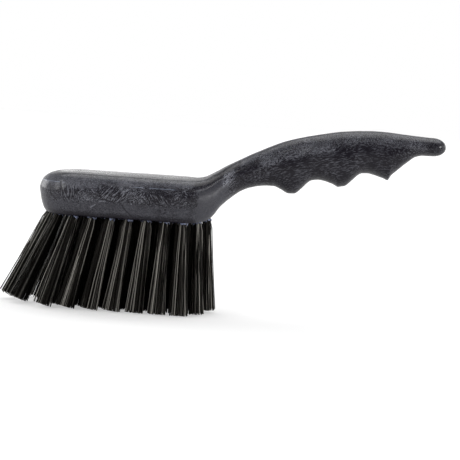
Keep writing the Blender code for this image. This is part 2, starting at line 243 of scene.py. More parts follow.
noseX = -moulding["blockLength"] / 2
heelX = moulding["blockLength"] / 2
buttX = heelX + moulding["handleLength"]
heelStartX = heelX - moulding["heelLength"]
sweepX = heelX - moulding["sweepSetback"]
neckX = heelX + moulding["neckReach"]
rimInsets = np.array([moulding["underInset"] * share for share, _ in moulding["lowerRim"]]
                     + [moulding["topInset"] * share for share, _ in moulding["upperRim"]])
rimHeights = np.array([height for _, height in moulding["lowerRim"] + moulding["upperRim"]])

# From the moulding's own frame, at the middle of the block's underside, to the row's
shift = np.array((blockLow.x - noseX, (blockLow.y + blockHigh.y) / 2, blockLow.z))


def outlineHalfWidth(x):
    size = moulding
    return smoothCurve((
        (heelStartX, size["blockWidth"] / 2),
        (neckX, size["neckWidth"] / 2),
        (heelX + size["gripReach"], size["gripWidth"] / 2),
        (heelX + size["buttReach"], size["buttWidth"] / 2),
    ), x)


def backHeight(x):
    size = moulding
    points = [(heelX + along * size["handleLength"], size["blockThickness"] + rise * size["handleRise"])
              for along, rise in size["back"]]
    return smoothCurve(points, x)


def undersideHeight(x):
    # The block's flat, the sweep up to the neck, the line of the crests with a scallop
    # raised between each two, and the last scallop's rise to the butt
    size = moulding
    neckEndX = sweepX + size["sweepLength"]
    neck = float(backHeight(neckEndX)) - size["neckDepth"]
    points = [(sweepX + along * size["sweepLength"], climb * neck) for along, climb in size["sweep"]]
    firstCrestX = neckEndX + size["firstCrestReach"]
    drop = float(backHeight(firstCrestX)) - size["gripDepth"] * size["crestDepths"][0] - neck
    points += [(neckEndX + along * size["firstCrestReach"], neck + share * drop)
               for along, share in size["approach"]]
    for finger, depth in enumerate(size["crestDepths"]):
        crestX = firstCrestX + finger * size["fingerPitch"]
        points.append((crestX, float(backHeight(crestX)) - size["gripDepth"] * depth))
    startX, startZ = points[-1]
    climb = float(backHeight(startX + size["lastScallopLength"])) - size["buttDepth"] - startZ
    points += [(startX + along * size["lastScallopLength"], startZ + share * climb)
               for along, share in size["lastScallop"]]
    phase = (x - firstCrestX) / size["fingerPitch"]
    between = (phase > 0.0) & (phase < len(size["crestDepths"]) - 1)
    wave = smoothCurve(size["scallop"], phase % 1.0)
    return smoothCurve(points, x) + np.where(between, size["scallopDepth"] * wave, 0.0)


def blockProfile(place):
    # The rim at places from 0, the middle of the underside, to 1, the middle of the top:
    # its inset, its height share, and how much of the way out from the middle it lies
    index = place * (len(rimInsets) + 3)
    rim = np.clip(index - 2, 0, len(rimInsets) - 1)
    last = len(rimInsets) + 3
    outward = np.interp(index, (0, 1, 2, last - 2, last - 1, last), (0.0, 0.6, 1.0, 1.0, 0.6, 0.0))
    # the top rises a little from its rim to its middle
    crowned = rimHeights[-1] + (1 - rimHeights[-1]) * (1 - outward ** 2)
    height = np.where(index > last - 2, crowned, throughPoints(rimHeights, rim, levelEnd=True))
    return throughPoints(rimInsets, rim), height, outward


def handleProfile(place):
    # A quarter-turned superellipse from its lowest to its highest point
    turn = math.pi * (place - 0.5)
    power = 2 / moulding["sectionPower"]
    across = np.abs(np.cos(turn)) ** power
    return across, np.sign(np.sin(turn)) * np.abs(np.sin(turn)) ** power


def evenPlaces(across, up, places, count, gathering, gatherAtEnd):
    # Places a like distance apart along a section, gathered at the seam
    length = np.concatenate(([0.0], np.cumsum(np.hypot(np.diff(across), np.diff(up)))))
    share = np.linspace(0.0, 1.0, count + 1)
    share = 1 - (1 - share) ** gathering if gatherAtEnd else share ** gathering
    return np.interp(share * length[-1], length, places)


def sectionPlaces(seamAtBlock, seamAtHandle):
    # Columns of the grid on the block's section and on a typical grip section, with the
    # seam at the same column in both
    size = moulding
    found = []
    for seam, kind in ((seamAtBlock, "block"), (seamAtHandle, "handle")):
        columns = []
        for start, end, count in ((0.0, seam, size["lowerColumns"]), (seam, 1.0, size["upperColumns"])):
            places = np.linspace(start, end, size["sectionSamples"])
            if kind == "block":
                inset, height, outward = blockProfile(places)
                across = (size["blockWidth"] / 2 - size["sideInsetShare"] * inset) * outward
                up = height * size["blockThickness"]
            else:
                across, up = handleProfile(places)
                across = across * size["gripWidth"] / 2
                up = up * size["gripDepth"] / 2
            atEnd = end == seam
            line = evenPlaces(across, up, places, count, size["seamGathering"], atEnd)
            columns.append(line if atEnd else line[1:])
        found.append(np.concatenate(columns))
    return found


def mouldingGrid():
    # Half the surface as rows from the nose to the butt and columns from the middle of
    # the underside to the middle of the top. The nose's rows turn round its rounding,
    # where each level is a quarter of a superellipse. Behind it each row is a section.
    size = moulding
    fan = np.linspace(0.0, math.pi / 2, size["noseRows"])
    startX = noseX + size["noseRounding"]
    endX = buttX - size["buttRounding"]
    body = np.linspace(startX, endX, int((endX - startX) / size["bodyStep"]))[1:]
    tip = buttX - size["buttRounding"] * (1 - np.sin(np.linspace(0.0, math.pi / 2, size["buttRows"])))[1:]
    rowX = np.concatenate((np.full(len(fan), startX), body, tip))
    turn = np.concatenate((fan, np.full(len(body) + len(tip), math.pi / 2)))[:, None]
    low = undersideHeight(np.minimum(rowX, endX))[:, None]
    high = backHeight(np.minimum(rowX, endX))[:, None]
    half = outlineHalfWidth(rowX)[:, None]
    toHandle = smoothStep((rowX - heelStartX) / (neckX - heelStartX))[:, None]

    # the seam's column: where blockProfile puts each of the rim's levels, then the seam
    rimPlaces = (np.arange(len(rimHeights)) + 2) / (len(rimHeights) + 3)
    seamAtBlock = float(np.interp(1 - relief["seamDrop"] / size["blockThickness"], rimHeights, rimPlaces))
    drop = np.clip(1 - 2 * relief["seamDrop"] / (high - low), 0.0, 1.0)
    seamRow = 0.5 + np.arcsin(drop ** (size["sectionPower"] / 2)) / math.pi
    seamAtHandle = float(seamRow[np.searchsorted(rowX, heelX + size["gripReach"]), 0])
    blockPlaces, handlePlaces = sectionPlaces(seamAtBlock, seamAtHandle)
    below = handlePlaces[None, :] <= seamAtHandle
    moved = np.where(below, handlePlaces * seamRow / seamAtHandle,
                     seamRow + (handlePlaces - seamAtHandle) * (1 - seamRow) / (1 - seamAtHandle))
    place = (1 - toHandle) * blockPlaces[None, :] + toHandle * moved

    inset, height, outward = blockProfile(place)
    narrowing = np.clip(np.sin(turn), 0.0, 1.0) ** (2 / size["nosePower"])
    reaching = np.clip(np.cos(turn), 0.0, 1.0) ** (2 / size["nosePower"])
    reaching[np.cos(turn) < 1e-9] = 0.0      # a quarter turn's cosine isn't quite nothing
    blockAcross = (half - size["sideInsetShare"] * inset) * outward * narrowing
    ahead = (size["noseRounding"] - inset) * outward * reaching
    blockUp = low + height * (high - low)

    closing = np.clip((buttX - rowX) / size["buttRounding"], 0.0, 1.0)[:, None]
    closing = np.sqrt(1 - (1 - closing) ** 2)
    across, up = handleProfile(place)
    handleAcross = closing * half * across
    handleUp = (low + high) / 2 + closing * (high - low) / 2 * up

    x = rowX[:, None] - ahead
    y = (1 - toHandle) * blockAcross + toHandle * handleAcross
    y[:, (0, -1)] = 0.0
    z = (1 - toHandle) * blockUp + toHandle * handleUp
    return np.stack(np.broadcast_arrays(x, y, z), axis=-1)


def ringFaces(rows, columns):
    # Four-sided faces between each row's closed ring of points and the next row's
    row, column = np.meshgrid(np.arange(rows - 1), np.arange(columns), indexing="ij")
    after = (column + 1) % columns
    faces = np.stack((row * columns + column, row * columns + after,
                      (row + 1) * columns + after, (row + 1) * columns + column), axis=-1)
    return faces.reshape(-1, 4).tolist()


def segmentDistance(points, start, end):
    # Distance of points in the plane of X and Z from a straight line between two points
    start, end = np.array(start), np.array(end)
    along = np.clip((points - start) @ (end - start) / ((end - start) @ (end - start)), 0.0, 1.0)
    return np.linalg.norm(points - start - along[:, None] * (end - start), axis=1)


# Weld lines on the block's sides as (x, z) in the moulding's frame
weldLines = (
    ((-33.3 * mm, 17.6 * mm), (-32.3 * mm, 13.0 * mm), (-31.0 * mm, 7.9 * mm)),
    ((-39.2 * mm, 15.8 * mm), (-38.6 * mm, 11.3 * mm), (-35.0 * mm, 7.6 * mm)),
    ((-1.7 * mm, 8.4 * mm), (1.6 * mm, 4.6 * mm), (5.1 * mm, 1.5 * mm)),
    ((-14.4 * mm, 10.3 * mm), (-5.5 * mm, 8.7 * mm)),
)
# Pale lines in the skin there, where the melt folded over
paleLines = (
    ((-16.7 * mm, 17.8 * mm), (-17.1 * mm, 15.0 * mm), (-15.3 * mm, 12.9 * mm)),
    ((3.5 * mm, 18.6 * mm), (2.7 * mm, 15.9 * mm), (0.4 * mm, 14.6 * mm), (-0.7 * mm, 12.0 * mm)),
    ((-11.3 * mm, 11.6 * mm), (-6.4 * mm, 17.1 * mm)),
    ((-9.2 * mm, 11.2 * mm), (-4.1 * mm, 17.9 * mm)),
    ((-6.0 * mm, 10.8 * mm), (-1.0 * mm, 16.6 * mm)),
    ((-16.8 * mm, 5.2 * mm), (-11.9 * mm, 8.8 * mm), (-8.3 * mm, 9.0 * mm)),
)


def surfaceRelief(points):
    # Height of the surface's own unevenness: swells, ripples, the parting ridge and the
    # weld lines on the block's sides
    size = relief
    x, y, z = points.T
    rise = size["swell"] * cellNoise(points, size["swellCell"], 11)
    rise += size["ripple"] * cellNoise(points, size["rippleCell"], 12)
    drop = backHeight(x) - z
    seam = np.exp(-((drop - size["seamDrop"]) / size["seamWidth"]) ** 2)
    wear = size["wearMean"] + size["wearSwing"] * cellNoise(points, size["wearCell"], 13)
    kept = np.clip(wear, size["wearLeast"], 1.0) * (np.abs(y) > size["seamAside"])
    rise += size["seamHeight"] * seam * kept
    flat = np.column_stack((x, z))
    for line in weldLines:
        away = np.minimum.reduce([segmentDistance(flat, a, b) for a, b in zip(line, line[1:])])
        away = away + size["wobble"] * cellNoise(points, size["wobbleCell"], 14)
        crease = np.exp(-(away / size["creaseWidth"]) ** 2)
        rise -= size["creaseDepth"] * crease * (np.abs(y) > size["creaseAside"])
    return rise


# Tufts: where they sit, as the block is drilled

tufts = dict(
    # the middle row, its two neighbours and the two outer rows
    counts=(9, 8, 7), noseSetbacks=(0.0, 5.2 * mm, 13.4 * mm), heelSetbacks=(0.0, 5 * mm, 12 * mm),
    sideMargin=7.8 * mm, noseMargin=6.6 * mm, heelMargin=2.4 * mm,
    noseLean=math.radians(22), heelLean=math.radians(-4), fanPower=1.2, firstLean=math.radians(4.8),
    sideFlare=math.radians(8),
    holeDiameter=4.8 * mm, holeDepth=12 * mm, cutterSides=24, cutterOverrun=6 * mm,
)


def tuftPlaces():
    # Name, mouth and 3x3 turn of each tuft's hole, in the row's frame. A turn is one
    # about X by the flare to the side, then one about Y by the lean to the nose.
    size = tufts
    places = []
    outer = len(size["counts"]) - 1
    spacing = (moulding["blockWidth"] / 2 - size["sideMargin"]) / outer
    for row, aside in enumerate(range(-outer, outer + 1)):
        off = abs(aside)
        run = np.linspace(noseX + size["noseMargin"] + size["noseSetbacks"][off],
                          heelX - size["heelMargin"] - size["heelSetbacks"][off], size["counts"][off])
        heights = undersideHeight(run)
        toHeel = (heelX - run) / moulding["blockLength"]
        leans = size["heelLean"] + (size["noseLean"] - size["heelLean"]) * toHeel ** size["fanPower"]
        if off < outer:
            leans[0] += size["firstLean"]      # the foremost holes lean round the nose
        flare = Matrix.Rotation(size["sideFlare"] * aside / outer, 3, "X")
        for tuft, (x, z, lean) in enumerate(zip(run, heights, leans)):
            turn = np.array(Matrix.Rotation(lean, 3, "Y") @ flare)
            mouth = np.array((x, aside * spacing, z)) + shift
            places.append((f"tuft_row{row + 1}_{tuft + 1}", mouth, turn))
    return places


places = tuftPlaces()


def drillHoles(piece):
    # Cuts every tuft's blind hole out of the moulding
    size = tufts
    cutter = bmesh.new()
    radius = size["holeDiameter"] / 2
    depth, overrun = size["holeDepth"], size["cutterOverrun"]
    for _, mouth, turn in places:
        place = Matrix.Translation(mouth) @ Matrix(turn.tolist()).to_4x4()
        bmesh.ops.create_cone(
            cutter, cap_ends=True, segments=size["cutterSides"], radius1=radius, radius2=radius,
            depth=depth + overrun, matrix=place @ Matrix.Translation((0.0, 0.0, (depth - overrun) / 2)))
    mesh = bpy.data.meshes.new("holeCutter")
    cutter.to_mesh(mesh)
    cutter.free()
    guide = bpy.data.objects.new("holeCutter", mesh)
    bpy.context.scene.collection.objects.link(guide)
    cut = piece.modifiers.new("tuftHoles", "BOOLEAN")
    cut.operation = "DIFFERENCE"
    cut.object = guide
    graph = bpy.context.evaluated_depsgraph_get()
    drilled = bpy.data.meshes.new_from_object(piece.evaluated_get(graph))
    piece.modifiers.clear()
    piece.data = drilled
    bpy.data.objects.remove(guide)


# The skin of the moulding, by distance along the brush from the block's middle, in x, and
# below its top or back, in drop
finish = dict(
    dark="#110d17", light="#a4a6b0", side=(0.11, 0.42),
    # How pale it is, place by place, and how much it varies, in mm: from x, to x, from
    # drop, to drop, soft edge, then the two amounts. A later row lies over the earlier.
    places=(
        (-60, -31, -9, 30, 5, 0.06, 0.36),       # nose
        (-60, 8, 1, 7.5, 3, 0.26, 0.2),          # painted light from above: the paler band under the top's edge, its front
        (8, 42, 1, 6.5, 2.5, 0.21, 0.22),        # and its back
        (-13, 38, 5.5, 14.5, 3.5, 0.0, 0.54),    # the rough band where the melt arrives
        (10, 37, 4.5, 11.5, 3, -0.06, 0.5),      # and its darkest stretch
        (-60, 45, 14, 60, 3, 0.11, 0.11),        # the smooth skin above the bristles
        (-60, 42, 20.0, 60, 2.4, 0.0, 0.08),     # painted shade along the edge round the underside
        (38, 55, 5, 60, 4, 0.125, 0.05),         # heel
        (36, 62, 1.2, 4.5, 1.5, 0.01, 0.15),     # the dark line above it
        (51.5, 56.5, 3, 9.5, 2.5, 0.36, 0.9),    # where two flows met in the neck
        (58, 70, 2.5, 60, 2.5, 0.0, 0.24),       # the dark neck behind that
        (68, 200, -9, 60, 8, 0.0, 0.28),         # handle
        (85, 200, 3, 60, 12, 0.0, 0.2),          # its calmer side from the first crest on
        (60, 72, -9, 3.6, 1.5, 0.24, 0.3),       # painted light from above on the handle's paler back, from the neck
        (70, 112, -9, 9.6, 2.6, 0.18, 0.28),
        (112, 158, -9, 6.8, 3.4, 0.165, 0.3),
        (158, 200, -9, 2.4, 2, 0.16, 0.3),       # to the butt
    ),
    # where the skin is drawn into straight strokes, in mm: turn from upright in degrees,
    # from x, to x, from drop, to drop. A contrast is the noise's limits and their levels.
    strokes=((0, -34, -22, 5, 13), (40, -14, 3, 5, 14), (-35, 12, 24, 8, 13), (86, 76, 152, 10, 40)),
    strokeWidth=0.42 * mm, strokeSqueeze=0.12, strokeContrast=((0.42, 0.64), (-0.7, 1.2)),
    strokeSoft=3, strokeCover=0.6,
    # pebbles on the block and drawn-out grain on the handle, both near the photograph's
    # finest detail; how far the grain covers the block and, at two drops, the handle
    pebble=0.33 * mm, grain=0.45 * mm, grainSqueeze=0.22, grainContrast=((0.40, 0.64), (-1.0, 1.1)),
    blockGrain=0.35, handleGrain=(0.1, 0.8), handleGrainDrops=(4 * mm, 9 * mm),
    handleFrom=(50 * mm, 70 * mm),
    # winding flow marks, in patches, and the swirl that bends the whole skin. A mark is
    # where noise is within markWidth of its middle.
    markSpacing=2.6 * mm, markWidth=0.035, markPatch=7 * mm, markLimits=(0.45, 0.6),
    blockMarks=0.8, handleMarks=0.4, swirl=8 * mm, swirlReach=7 * mm,
    # clouds, and their share and the skin's in the whole pattern
    cloud=11 * mm, cloudContrast=((0.3, 0.7), (-1.0, 1.0)), cloudShare=0.25, skinShare=0.85,
    # the parting line: half its width where it is full and where it ends, and its places
    seamColour="#8a93a6", seamReach=(0.05 * mm, 0.28 * mm), seamCover=0.6, seamPatch=3 * mm,
    seamLimits=(0.35, 0.5), seamPlaces=((-60, -31, 2), (5, 27, 3)),
    # pale folds, and painted shade in the weld lines' grooves; both fade out over their outer part
    lineCore=0.3, foldWidth=0.42 * mm, foldPaleness=0.3, foldPatch=2 * mm, foldLimits=(0.3, 0.55),
    creaseShade=0.7,
)

# The polished top: whole at the nose, less towards the heel, where it ends. It reaches
# down as far as the top's edge, and is weaker beside the near edge.
polished = dict(
    along=(-46 * mm, 30 * mm), heelShare=0.6, end=(30 * mm, 42 * mm), drop=(0.3 * mm, 1.1 * mm),
    aside=(-13 * mm, -9 * mm), asideShare=0.35, grainShare=0.75,
    roughness=(0.42, 0.54),        # of the skin without it, from cloud to cloud
    gloss=0.38, flatness=0.96,     # what it takes off the roughness and off the bump
)


def faded(tree, amount, *fades):
    # An amount times one level for each fade. A fade is a value, two limits and two
    # levels: its level goes smoothly from one to the other between the limits.
    for value, limits, levels in fades:
        level = addNode(tree, "MapRange", {
            "Value": value, "From Min": limits[0], "From Max": limits[1],
            "To Min": levels[0], "To Max": levels[1]}, interpolation_type="SMOOTHSTEP")
        amount = addNode(tree, "Math", {0: level, 1: amount}, operation="MULTIPLY")
    return amount


def within(tree, soft, *sides):
    # 1 where each value is between its two limits and 0 beyond them, with soft edges. The
    # limits and the edges' width are in mm.
    fades = []
    for value, low, high in sides:
        fades.append((value, ((low - soft / 2) * mm, (low + soft / 2) * mm), (0.0, 1.0)))
        fades.append((value, ((high - soft / 2) * mm, (high + soft / 2) * mm), (1.0, 0.0)))
    return faded(tree, 1.0, *fades)


def patches(tree, vector, size, limits, levels=(0.0, 1.0), detail=1.0, roughness=0.6):
    # Random patches about as large as the size, with their noise spread over two levels
    noise = addNode(tree, "TexNoise", {"Vector": vector, "Scale": 1 / size, "Detail": detail,
                                       "Roughness": roughness})
    return faded(tree, 1.0, (noise, limits, levels))


def awayFrom(tree, value, middle):
    # How far a value lies from a middle one, either way
    offset = addNode(tree, "Math", {0: value, 1: middle}, operation="SUBTRACT")
    return addNode(tree, "Math", {0: offset}, operation="ABSOLUTE")


def drawnLines(tree, x, drop, lines, width):
    # 1 on lines drawn straight from point to point on the block's side, 0 a line's width
    # away from them. Their points are given by x and height, and the side by x and drop.
    thick = moulding["blockThickness"]
    flat = addNode(tree, "CombineXYZ", {"X": x, "Z": drop})
    found = 0.0
    for line in lines:
        corners = [Vector((along, 0.0, thick - height)) for along, height in line]
        for start, end in zip(corners, corners[1:]):
            span = end - start
            offset = addNode(tree, "VectorMath", {0: flat, 1: start}, operation="SUBTRACT")
            share = addNode(tree, "VectorMath", {0: offset, 1: span / span.length_squared},
                            operation="DOT_PRODUCT")
            share = addNode(tree, "Clamp", {"Value": share})
            foot = addNode(tree, "VectorMath", {0: span, "Scale": share}, operation="SCALE")
            away = addNode(tree, "VectorMath", {0: offset, 1: foot}, operation="DISTANCE")
            near = addNode(tree, "MapRange", {"Value": away, "From Min": finish["lineCore"] * width,
                                              "From Max": width, "To Min": 1.0, "To Max": 0.0})
            found = addNode(tree, "Math", {0: found, 1: near}, operation="MAXIMUM")
    return found


def foamedPolypropylene():
    # Black foamed polypropylene, moulded: gas streaks and flow marks run grey through a
    # near-black pebbled skin. The block's flat top is the one polished place. The skin
    # shines softly over a duller body, which a coat of low gloss stands for. Paler bands
    # under the block's top and along the handle's back are painted light from above, and
    # the underside's edge and the weld lines' grooves are darkened with painted shade.
    material, tree, shader = newMaterial("foamedPolypropyleneBlack")
    flow = addNode(tree, "Attribute", attribute_name="flow").outputs["Vector"]
    parts = addNode(tree, "SeparateXYZ", {0: flow}).outputs
    x, drop = parts["X"], parts["Z"]

    # coordinates that swirl like the melt, and the same drawn out along the brush
    swirl = addNode(tree, "TexNoise", {"Vector": flow, "Scale": 1 / finish["swirl"], "Detail": 2.0})
    swirl = addNode(tree, "VectorMath", {0: swirl.outputs["Color"], 1: (0.5, 0.5, 0.5)},
                    operation="SUBTRACT")
    swirl = addNode(tree, "VectorMath", {0: swirl, "Scale": finish["swirlReach"]}, operation="SCALE")
    bent = addNode(tree, "VectorMath", {0: flow, 1: swirl}, operation="ADD")
    drawn = addNode(tree, "Mapping", {"Vector": bent, "Scale": (finish["grainSqueeze"], 1.0, 1.0)})

    pebbles = patches(tree, bent, finish["pebble"], *finish["grainContrast"], roughness=0.7)
    grain = patches(tree, drawn, finish["grain"], *finish["grainContrast"])
    clouds = patches(tree, bent, finish["cloud"], *finish["cloudContrast"], detail=2.0)
    winding = addNode(tree, "TexNoise", {"Vector": bent, "Scale": 1 / finish["markSpacing"], "Detail": 0.5,
                                         "Roughness": 0.6})
    marks = faded(tree, patches(tree, flow, finish["markPatch"], finish["markLimits"]),
                  (awayFrom(tree, winding, 0.5), (0.0, finish["markWidth"]), (1.0, 0.0)))

    # how pale each place is and how much it varies, with painted light and painted shade in some places
    pale, variation = finish["side"]
    for fromX, toX, fromDrop, toDrop, soft, paleness, variety in finish["places"]:
        cover = within(tree, soft, (x, fromX, toX), (drop, fromDrop, toDrop))
        pale = addNode(tree, "Mix", {"Factor": cover, "A": pale, "B": paleness})
        variation = addNode(tree, "Mix", {"Factor": cover, "A": variation, "B": variety})

    # the skin: pebbles, grain and strokes
    toHandle = faded(tree, 1.0, (x, finish["handleFrom"], (0.0, 1.0)))
    onHandle = faded(tree, 1.0, (drop, finish["handleGrainDrops"], finish["handleGrain"]))
    grainCover = addNode(tree, "Mix", {"Factor": toHandle, "A": finish["blockGrain"], "B": onHandle})
    skin = addNode(tree, "Mix", {"Factor": grainCover, "A": pebbles, "B": grain})
    for angle, fromX, toX, fromDrop, toDrop in finish["strokes"]:
        # turned in the plane of the side and then squeezed
        turned = addNode(tree, "Mapping", {"Vector": flow, "Rotation": (0.0, math.radians(angle), 0.0)})
        squeezed = addNode(tree, "Mapping", {"Vector": turned,
                                             "Scale": (1.0, 1.0, finish["strokeSqueeze"])})
        strokes = patches(tree, squeezed, finish["strokeWidth"], *finish["strokeContrast"])
        cover = within(tree, finish["strokeSoft"], (x, fromX, toX), (drop, fromDrop, toDrop))
        cover = addNode(tree, "Math", {0: cover, 1: finish["strokeCover"]}, operation="MULTIPLY")
        skin = addNode(tree, "Mix", {"Factor": cover, "A": skin, "B": strokes})
    markShare = addNode(tree, "Mix", {"Factor": toHandle, "A": finish["blockMarks"],
                                      "B": finish["handleMarks"]})
    texture = 0.0
    for part, share in ((skin, finish["skinShare"]), (clouds, finish["cloudShare"]), (marks, markShare)):
        texture = addNode(tree, "Math", {0: part, 1: share, 2: texture}, operation="MULTIPLY_ADD")
    level = addNode(tree, "Math", {0: variation, 1: texture, 2: pale}, operation="MULTIPLY_ADD")
    level = addNode(tree, "Math", {0: level, 1: 0.0}, operation="MAXIMUM")

    # pale folds in patches, and painted shade in the weld lines' creases
    folds = drawnLines(tree, x, drop, paleLines, finish["foldWidth"])
    paleness = patches(tree, flow, finish["foldPatch"], finish["foldLimits"], (0.0, finish["foldPaleness"]))
    level = addNode(tree, "Math", {0: folds, 1: paleness, 2: level}, operation="MULTIPLY_ADD")
    creases = drawnLines(tree, x, drop, weldLines, relief["creaseWidth"])
    kept = addNode(tree, "Math", {0: creases, 1: -finish["creaseShade"], 2: 1.0},
                   operation="MULTIPLY_ADD")
    level = addNode(tree, "Math", {0: level, 1: kept}, operation="MULTIPLY")

    # the parting line is pale blue-grey in patches along it
    paleSeamCover = 0.0
    for fromX, toX, soft in finish["seamPlaces"]:
        stretch = within(tree, soft, (x, fromX, toX))
        paleSeamCover = addNode(tree, "Math", {0: paleSeamCover, 1: stretch}, operation="MAXIMUM")
    patchy = patches(tree, flow, finish["seamPatch"], finish["seamLimits"], (0.0, finish["seamCover"]))
    paleSeamCover = addNode(tree, "Math", {0: paleSeamCover, 1: patchy}, operation="MULTIPLY")
    seam = faded(tree, paleSeamCover, (awayFrom(tree, drop, relief["seamDrop"]), finish["seamReach"], (1.0, 0.0)))

    colour = addNode(tree, "Mix", {"Factor": level, "A": linearColour(finish["dark"]),
                                   "B": linearColour(finish["light"])}, data_type="RGBA")
    colour = addNode(tree, "Mix", {"Factor": seam, "A": colour,
                                   "B": linearColour(finish["seamColour"])}, data_type="RGBA")
    tree.links.new(colour.outputs["Result"], shader.inputs["Base Color"])

    polish = faded(tree, 1.0,
                   (x, polished["along"], (1.0, polished["heelShare"])),
                   (x, polished["end"], (1.0, 0.0)),
                   (drop, polished["drop"], (1.0, 0.0)),
                   (parts["Y"], polished["aside"], (polished["asideShare"], 1.0)),
                   (grain, (-1.0, 1.0), (polished["grainShare"], 1.0)))
    dull = faded(tree, 1.0, (clouds, (-1.0, 1.0), polished["roughness"]))
    rough = addNode(tree, "Math", {0: polish, 1: -polished["gloss"], 2: dull}, operation="MULTIPLY_ADD")
    tree.links.new(rough.outputs[0], shader.inputs["Roughness"])
    shader.inputs["IOR"].default_value = 1.49
    shader.inputs["Specular IOR Level"].default_value = 0.1
    shader.inputs["Coat Weight"].default_value = 0.5
    shader.inputs["Coat Roughness"].default_value = 0.26

    height = addNode(tree, "Math", {0: skin, 1: marks}, operation="ADD")
    height = faded(tree, height, (variation, (0.0, 0.3), (0.2, 1.0)))
    kept = addNode(tree, "Math", {0: polish, 1: -polished["flatness"], 2: 1.0}, operation="MULTIPLY_ADD")
    height = addNode(tree, "Math", {0: height, 1: kept}, operation="MULTIPLY")
    bump = addNode(tree, "Bump", {"Height": height, "Strength": 0.7, "Distance": 0.09 * mm})
    tree.links.new(bump.outputs[0], shader.inputs["Normal"])
    return material


def markFlow(mesh):
    # Stores how the melt ran: distance along the brush, across it and below its back
    points = np.empty(len(mesh.vertices) * 3, np.float32)
    mesh.vertices.foreach_get("co", points)
    x, y, z = (points.reshape(-1, 3) - shift).T
    flow = np.stack((x, y, backHeight(x) - z), axis=1).astype(np.float32)
    mesh.attributes.new("flow", "FLOAT_VECTOR", "POINT").data.foreach_set("vector", flow.ravel())


def buildMoulding():
    # The half surface and its mirror image, closed, given its relief and drilled
    half = mouldingGrid()
    mirrored = half[:, -2:0:-1] * np.array((1.0, -1.0, 1.0))
    rings = np.concatenate((half, mirrored), axis=1)
    rows, columns = rings.shape[:2]
    piece = newPiece("moulding", rings.reshape(-1, 3), ringFaces(rows, columns), foamedPolypropylene())
    weldAndTurnOut(piece)
    mesh = piece.data
    count = len(mesh.vertices)
    points = np.empty(count * 3, np.float32)
    normals = np.empty(count * 3, np.float32)
    mesh.vertices.foreach_get("co", points)
    mesh.vertex_normals.foreach_get("vector", normals)
    points = points.reshape(-1, 3).astype(float)
    normals = normals.reshape(-1, 3).astype(float)
    points += surfaceRelief(points)[:, None] * normals
    mesh.vertices.foreach_set("co", (points + shift).astype(np.float32).ravel())
    mesh.update()
    drillHoles(piece)
    piece.data.shade_smooth()
    piece.data.set_sharp_from_angle(angle=math.radians(50))
    markFlow(piece.data)
    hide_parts("block_and_handle")
    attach(piece, "root")
    print("moulding,", len(piece.data.polygons), "faces")


buildMoulding()


# Burrs that the drill pushed out round the holes

burrs = dict(
    radius=2.7 * mm, thickness=0.16 * mm, height=1.9 * mm, leastShare=0.3, sunk=0.1 * mm,
    waves=(2, 5, 9), sides=30, around=6, patch=0.9 * mm, dark="#16161f", pale="#858eac",
)


def whitenedAndGlintingPolypropylene():
    # Burrs painted bluish white in patches: partly the pallor of stretched polypropylene, partly painted
    # highlight where their edges catch the light
    material, tree, shader = newMaterial("polypropyleneWhitenedAndPaintedGlint")
    place = addNode(tree, "TexCoord").outputs["Object"]
    whiteningAndGlint = addNode(tree, "TexNoise", {"Vector": place, "Scale": 1 / burrs["patch"]})
    amount = addNode(tree, "MapRange", {"Value": whiteningAndGlint, "From Min": 0.42, "From Max": 0.62})
    colour = addNode(tree, "Mix", {"Factor": amount, "A": linearColour(burrs["dark"]),
                                   "B": linearColour(burrs["pale"])}, data_type="RGBA")
    tree.links.new(colour.outputs["Result"], shader.inputs["Base Color"])
    shader.inputs["Roughness"].default_value = 0.4
    return material


def buildBurrs():
    # Round each mouth runs a ring whose section is a flat ellipse. Its height goes up and
    # down with the mean of three waves round the hole, whose starts are random.
    size = burrs
    random = np.random.default_rng(8)
    turn = np.arange(size["sides"]) * 2 * math.pi / size["sides"]
    section = np.arange(size["around"]) * 2 * math.pi / size["around"]
    points, faces = [], []
    for _, mouth, rotation in places:
        starts = random.uniform(0, 2 * math.pi, len(size["waves"]))
        waves = [np.sin(count * turn + start) for count, start in zip(size["waves"], starts)]
        least = size["leastShare"]
        rise = np.clip(0.5 + np.mean(waves, axis=0), 0.0, 1.0)
        height = size["height"] * (least + (1 - least) * rise)[:, None]
        out = size["radius"] + size["thickness"] * np.cos(section)[None, :] + 0 * height
        down = size["sunk"] - height * (0.5 + 0.5 * np.sin(section))[None, :]
        ring = np.stack((out * np.cos(turn)[:, None], out * np.sin(turn)[:, None], down), axis=-1)
        ring = np.concatenate((ring, ring[:1])).reshape(-1, 3) @ rotation.T + mouth
        first = len(points) * len(ring)
        points.append(ring)
        faces += (np.array(ringFaces(size["sides"] + 1, size["around"])) + first).tolist()
    piece = newPiece("hole_burrs", np.concatenate(points), faces, whitenedAndGlintingPolypropylene())
    weldAndTurnOut(piece)
    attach(piece, "root")
    print("burrs round", len(places), "holes")


buildBurrs()


# Filaments

